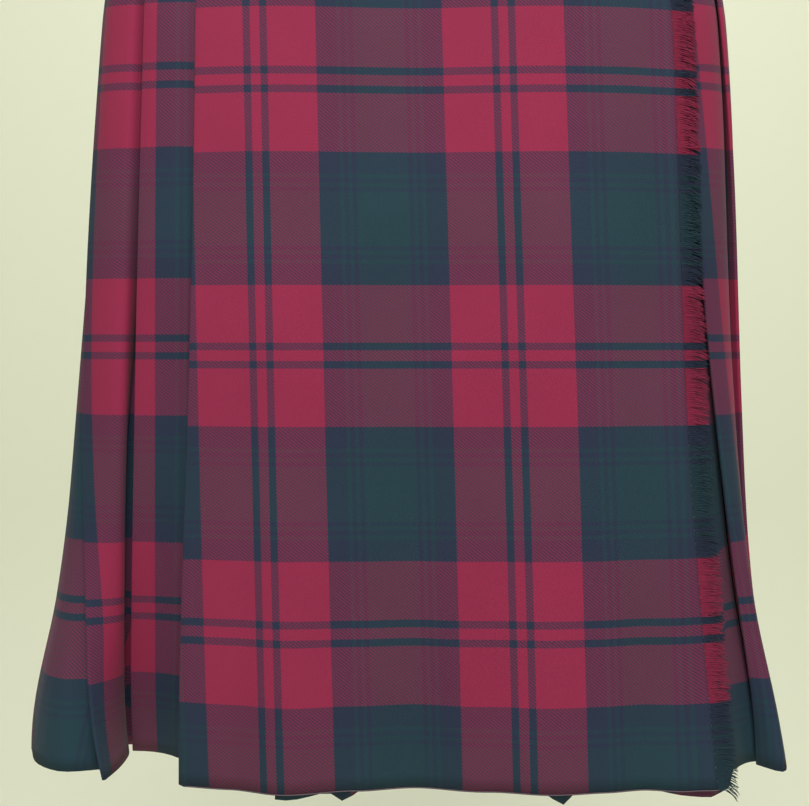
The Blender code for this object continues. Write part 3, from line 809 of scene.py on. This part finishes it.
def build_cloth():
    drops = evenly(LENGTH, ROWS)
    apron = cloth_piece("front_apron_cloth", apron_section, drops, weft=apron_weft)
    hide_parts("front_apron")
    under = cloth_piece("under_apron_cloth", under_section, drops,
                        rise=lambda x, drop: -sag(x, drop) if x < 200.0 else pleat_rise(x, drop))
    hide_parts("under_apron")
    for name, first, last in (("pleats_left", 1, 5), ("pleats_back_left", 6, 10),
                              ("pleats_back_right", 11, 15), ("pleats_right", 16, PLEATS)):
        piece = cloth_piece(f"{name}_cloth", lambda oval, a=first, b=last: pleat_section(oval, a, b), drops,
                            rise=pleat_rise, weft=pleat_weft)
        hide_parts(name)


def band_section(oval, front):
    right = oval.front_length(oval.size["apron_right_x"])
    left = edge_place(oval, 0)
    if front:
        first, last, columns, out = right, left + 1.5, 60, LAYER + BAND_STAND_OFF
    else:
        first, columns, out = left + 4.0, 180, BAND_STAND_OFF + BACK_EXTRA
        last = oval.round + right - SEAM_GAP - FRINGE_STRIP - LOCK_LENGTH * 1.12 - 1.0
    points = [oval.at(first + (last - first) * i / columns, out) for i in range(columns + 1)]
    if front:
        return points, warps_from(points, oval.drop)
    lengths = [0.0]
    for a, b in zip(points, points[1:]):
        lengths.append(lengths[-1] + (b - a).length)
    return points, [APRON_FOLD_WARP - length for length in lengths]


def build_waistband():
    drops = evenly(BAND_DEPTH, 8)
    for name, front, width in (("waistband_front", True, 0.235), ("waistband_back", False, 0.42)):
        band = cloth_piece(f"{name}_cloth", lambda oval, f=front: band_section(oval, f), drops,
                           weft=lambda spot, drop: BAND_WEFT)
        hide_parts(name)


def thread_curve(name, lines, radius, material, sides=1):
    """Many short threads as one mesh."""
    curve = bpy.data.curves.new(name, "CURVE")
    curve.dimensions = "3D"
    curve.bevel_depth = radius * MM
    curve.bevel_resolution = sides
    curve.use_fill_caps = True
    for line in lines:
        spline = curve.splines.new("POLY")
        spline.points.add(len(line) - 1)
        for point, place in zip(spline.points, line):
            point.co = (*(place * MM), 1.0)
            point.radius = 1.0
        spline.points[-1].radius = 0.45
    guide = bpy.data.objects.new(name, curve)
    bpy.context.scene.collection.objects.link(guide)
    mesh = bpy.data.meshes.new_from_object(guide.evaluated_get(bpy.context.evaluated_depsgraph_get()))
    bpy.data.objects.remove(guide)
    mesh.name = name
    mesh.materials.clear()
    mesh.materials.append(material)
    mesh.shade_smooth()
    piece = bpy.data.objects.new(name, mesh)
    bpy.context.scene.collection.objects.link(piece)
    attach(piece, "root")
    return piece


def fringe_lines():
    """The loose weft ends: uneven and drooping, gathered into small clumps, some bent back in loops."""
    lines = []
    for i in range(FRINGE_THREADS):
        drop = 1.0 + (LENGTH - 2.0) * (i + 0.5) / FRINGE_THREADS
        own = noise.noise(Vector((i * 7.31, 1.0, 5.0)))
        other = noise.noise(Vector((i * 3.17, 8.0, 2.0)))
        wander = 0.9 * noise.noise(Vector((drop * 0.21, 0.0, 4.0)))
        wander += 0.25 * noise.noise(Vector((drop * 1.3, 6.0, 0.0)))
        near = round(drop / CLUMP_PITCH + wander)
        clump = near * CLUMP_PITCH - wander * CLUMP_PITCH
        low = max(0.0, drop - LENGTH + FRINGE_FOOT) / FRINGE_FOOT
        uneven = 0.20 * noise.noise(Vector((near * 1.7, 3.0, 0.0)))
        reach = FRINGE_REACH * (1.0 + uneven + 0.22 * own - 0.18 * low)
        droop = 3.6 + 2.6 * noise.noise(Vector((near * 2.9, 0.0, 9.0))) + 3.4 * other + 5.5 * low
        gather = 0.35 * (clump - drop) * (0.6 + own) * (1.0 - 0.7 * low)
        stand = 0.5 + 1.5 * abs(other)
        curl = 0.35 + 1.1 * abs(own)
        looped = i % LOOP_EVERY == 3
        oval, loose = oval_at(round(drop / 4.0) * 4.0), loosened(drop)
        root = oval.front_length(oval.size["apron_right_x"]) + FRINGE_OVERLAP
        line = []
        for step in range(FRINGE_STEPS + 1):
            t = step / FRINGE_STEPS
            far = t if not looped else 1.25 * t * (1.0 - 0.55 * t * t * t)
            down = droop * t * t + gather * t ** 1.5 + curl * math.sin(t * 8.0 + i * 2.1) * t
            out = THREAD + stand * math.sin(min(t * 2.6, 2.6)) * t ** 0.5
            if looped:
                down += 3.2 * math.sin(math.pi * t * t)
            under = -out - CLOTH / 2 * (t < 0.1)
            spot = apron_front(oval, root - (FRINGE_OVERLAP + reach) * far, loose, under)
            line.append(Vector((spot.x, spot.y, -drop - down)))
        lines.append(line)
    return lines


def edge_stitches(beside, spacing, length, stand):
    """A row of small stitches down the apron beside its cut edge."""
    lines = []
    drop = BAND_DEPTH + 4.0
    while drop < LENGTH - 4.0:
        line = []
        for part in (0.0, 0.5, 1.0):
            at = drop + length * part
            oval = oval_at(at)
            root = oval.front_length(oval.size["apron_right_x"])
            out = stand if part == 0.5 else 0.35
            spot = apron_front(oval, root + beside, loosened(at), -out)
            line.append(Vector((spot.x, spot.y, -at)))
        lines.append(line)
        drop += spacing
    return lines


def hem_line():
    """The thin selvedge that edges the apron's hem, on the face of the cloth."""
    points, _ = apron_section(oval_at(LENGTH))
    return [Vector((spot.x, spot.y - SELVEDGE_STAND, SELVEDGE_RISE - LENGTH))
            for spot in points[:APRON_COLUMNS]]


def build_fringe():
    strip = bpy.data.objects["fringe"]
    backing = thread_curve("fringe_threads", fringe_lines(), THREAD, FRINGE)
    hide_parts(strip.name)
    stitches = thread_curve("fringe_stitches", edge_stitches(1.1, 2.7, 2.1, 0.62), 0.13, STITCH)
    selvedge = thread_curve("hem_selvedge", [hem_line()], 0.3, SELVEDGE)


def refined(node, name, bevel, material):
    """A copy of a hard node with its faces merged, its edges rounded and its own finish."""
    source = bpy.data.objects[node]
    bm = bmesh.new()
    bm.from_mesh(source.data)
    bmesh.ops.remove_doubles(bm, verts=bm.verts[:], dist=1e-6)
    bmesh.ops.dissolve_limit(bm, angle_limit=math.radians(1.0), verts=bm.verts[:], edges=bm.edges[:])
    sharp = [e for e in bm.edges if len(e.link_faces) == 2 and e.calc_face_angle(0.0) > math.radians(50)]
    if bevel:
        bmesh.ops.bevel(bm, geom=sharp, offset=bevel * MM, segments=3, profile=0.5, affect="EDGES",
                        material=-1)
    for face in bm.faces:
        face.smooth = True
    mesh = bpy.data.meshes.new(name)
    bm.to_mesh(mesh)
    bm.free()
    mesh.set_sharp_from_angle(angle=math.radians(42))
    mesh.materials.append(material)
    piece = bpy.data.objects.new(name, mesh)
    bpy.context.scene.collection.objects.link(piece)
    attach(piece, "root")
    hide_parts(node)
    return piece


def build_straps():
    for side in ("left", "right"):
        for part, bevel in (("strap", 0.6), ("strap_seat", 0.5), ("chape", 0.6), ("keeper", 0.3)):
            refined(f"{part}_{side}", f"{part}_{side}_leather", bevel, LEATHER)
        for part in ("buckle", "prong"):
            refined(f"{part}_{side}", f"{part}_{side}_metal", 0.0, METAL)


def plain_material(name, colour, roughness):
    material, _, shader = new_material(name)
    shader.inputs["Base Color"].default_value = (*colour, 1.0)
    shader.inputs["Roughness"].default_value = roughness
    return material


def build_stage():
    """A pale floor that curves up into a pale backdrop."""
    bm = bmesh.new()
    width, front, back, low, high, bend = 6.0, -3.0, 1.7, -1.4, 3.0, 0.7
    profile = [Vector((-width, front, low))]
    for turn in evenly(math.pi / 2, BEND_STEPS):
        reach, rise = bend * math.sin(turn), bend * math.cos(turn)
        profile.append(Vector((-width, back - bend + reach, low + bend - rise)))
    profile.append(Vector((-width, back, high)))
    verts = [bm.verts.new(p) for p in profile]
    edges = [bm.edges.new(pair) for pair in zip(verts, verts[1:])]
    grown = bmesh.ops.extrude_edge_only(bm, edges=edges)["geom"]
    far_edge = [v for v in grown if isinstance(v, bmesh.types.BMVert)]
    bmesh.ops.translate(bm, vec=(2 * width, 0, 0), verts=far_edge)
    for face in bm.faces:
        face.smooth = True
    mesh = bpy.data.meshes.new("floor")
    bm.to_mesh(mesh)
    bm.free()
    mesh.materials.append(plain_material("pale floor", (0.83, 0.85, 0.67), 0.9))
    floor = bpy.data.objects.new("floor", mesh)
    bpy.context.scene.collection.objects.link(floor)


def add_area(name, place, aim, size, power, colour):
    light = bpy.data.lights.new(name, "AREA")
    light.shape = "DISK"
    light.size = size
    light.energy = power
    light.color = colour
    holder = bpy.data.objects.new(name, light)
    holder.location = place
    holder.rotation_mode = "QUATERNION"
    holder.rotation_quaternion = (Vector(aim) - Vector(place)).to_track_quat("-Z", "Y")
    bpy.context.scene.collection.objects.link(holder)


def build_light():
    world = bpy.data.worlds.new("soft room")
    world.use_nodes = True
    world.node_tree.nodes["Background"].inputs[0].default_value = (0.93, 0.96, 1.0, 1.0)
    world.node_tree.nodes["Background"].inputs[1].default_value = 0.20
    bpy.context.scene.world = world
    add_area("window", (0.0, -1.5, 1.25), (0.0, 0.0, -0.05), 0.9, 47.0, (1.0, 0.99, 0.95))
    add_area("fill", (0.1, -2.6, -0.2), (0.0, 0.0, -0.4), 1.6, 8.0, (0.95, 0.98, 1.0))
    add_area("wall light", (0.35, -0.2, 2.6), (0.35, 1.7, 0.1), 2.0, 46.0, (1.0, 0.99, 0.96))
    bpy.context.scene.view_settings.view_transform = "Standard"


def build_camera():
    eye_z = -LENGTH * MM + (HEM_Y - CAMERA_EYE_Y) * METRES_PER_PIXEL
    camera = bpy.data.cameras.new("camera")
    camera.sensor_width = SENSOR
    camera.lens = SENSOR * CAMERA_DISTANCE / METRES_PER_PIXEL / PHOTO_WIDTH
    camera.shift_y = (CAMERA_EYE_Y - PHOTO_MIDDLE_Y) / PHOTO_WIDTH
    holder = bpy.data.objects.new("camera", camera)
    holder.location = (0.0, APRON_FACE_Y - CAMERA_DISTANCE, eye_z)
    holder.rotation_euler = (math.radians(90), 0.0, 0.0)
    bpy.context.scene.collection.objects.link(holder)
    bpy.context.scene.camera = holder


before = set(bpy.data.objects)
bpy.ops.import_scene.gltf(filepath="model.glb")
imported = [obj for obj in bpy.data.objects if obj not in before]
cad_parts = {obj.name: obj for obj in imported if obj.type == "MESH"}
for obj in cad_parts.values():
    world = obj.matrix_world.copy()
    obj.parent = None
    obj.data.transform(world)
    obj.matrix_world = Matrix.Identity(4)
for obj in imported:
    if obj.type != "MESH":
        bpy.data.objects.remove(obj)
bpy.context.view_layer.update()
build_camera()
TARTAN_GROUP = tartan_group()
WOOL_GROUP = wool_group()
TARTAN = tartan_material()
FRINGE = fringe_material()
LEATHER = leather_material()
METAL = metal_material()
STITCH = plain_material("fringe stitch thread", (0.26, 0.22, 0.23), 0.8)
SELVEDGE = plain_material("hem selvedge thread", (0.115, 0.080, 0.095), 0.85)
build_cloth()
build_waistband()
build_fringe()
build_straps()
build_stage()
build_light()
